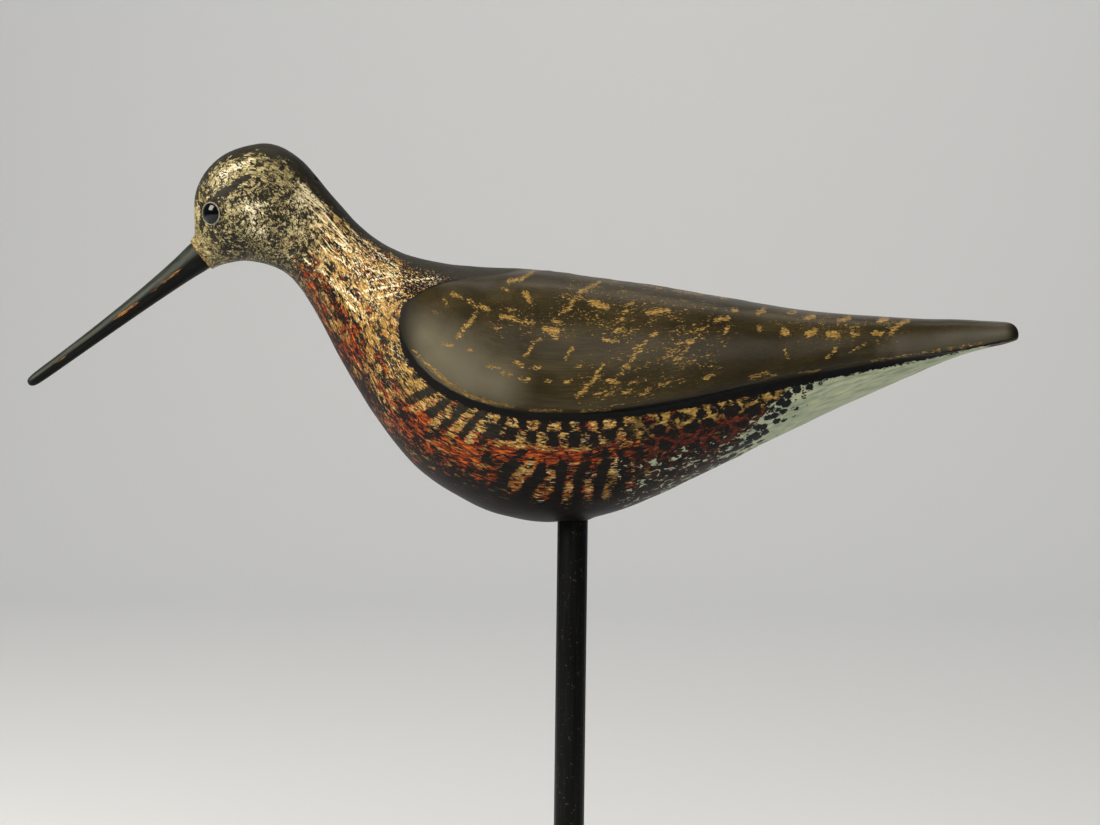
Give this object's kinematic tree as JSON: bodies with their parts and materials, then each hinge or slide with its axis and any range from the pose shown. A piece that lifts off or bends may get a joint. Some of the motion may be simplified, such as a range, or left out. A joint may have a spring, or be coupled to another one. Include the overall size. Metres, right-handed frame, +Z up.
{
  "type": "shorebird decoy",
  "caption": "Carved and painted wooden shorebird with raised wings, a separate long bill and glass eyes, held over a round foot by a plain dowel.",
  "frame": {"origin": "on the dowel's axis, at the underside of the foot", "axes": "+Z up along the dowel; the bird faces -X, and its left side, which the picture shows, faces -Y"},
  "size_m": [0.3073, 0.128, 0.2874],
  "materials": {
    "bird_paint": "oil paint over carved wood, satin, rubbed through at the edges",
    "bill_paint": "dark oil paint, satin, worn along the side edges",
    "eye_glass": "black glass, polished",
    "stand_paint": "black paint, satin"
  },
  "bodies": {
    "root": {"carved_bird": "bird_paint", "bill": "bill_paint", "eye_left": "eye_glass", "eye_right": "eye_glass", "stand_dowel": "stand_paint", "stand_foot": "stand_paint"}
  },
  "joints": []
}
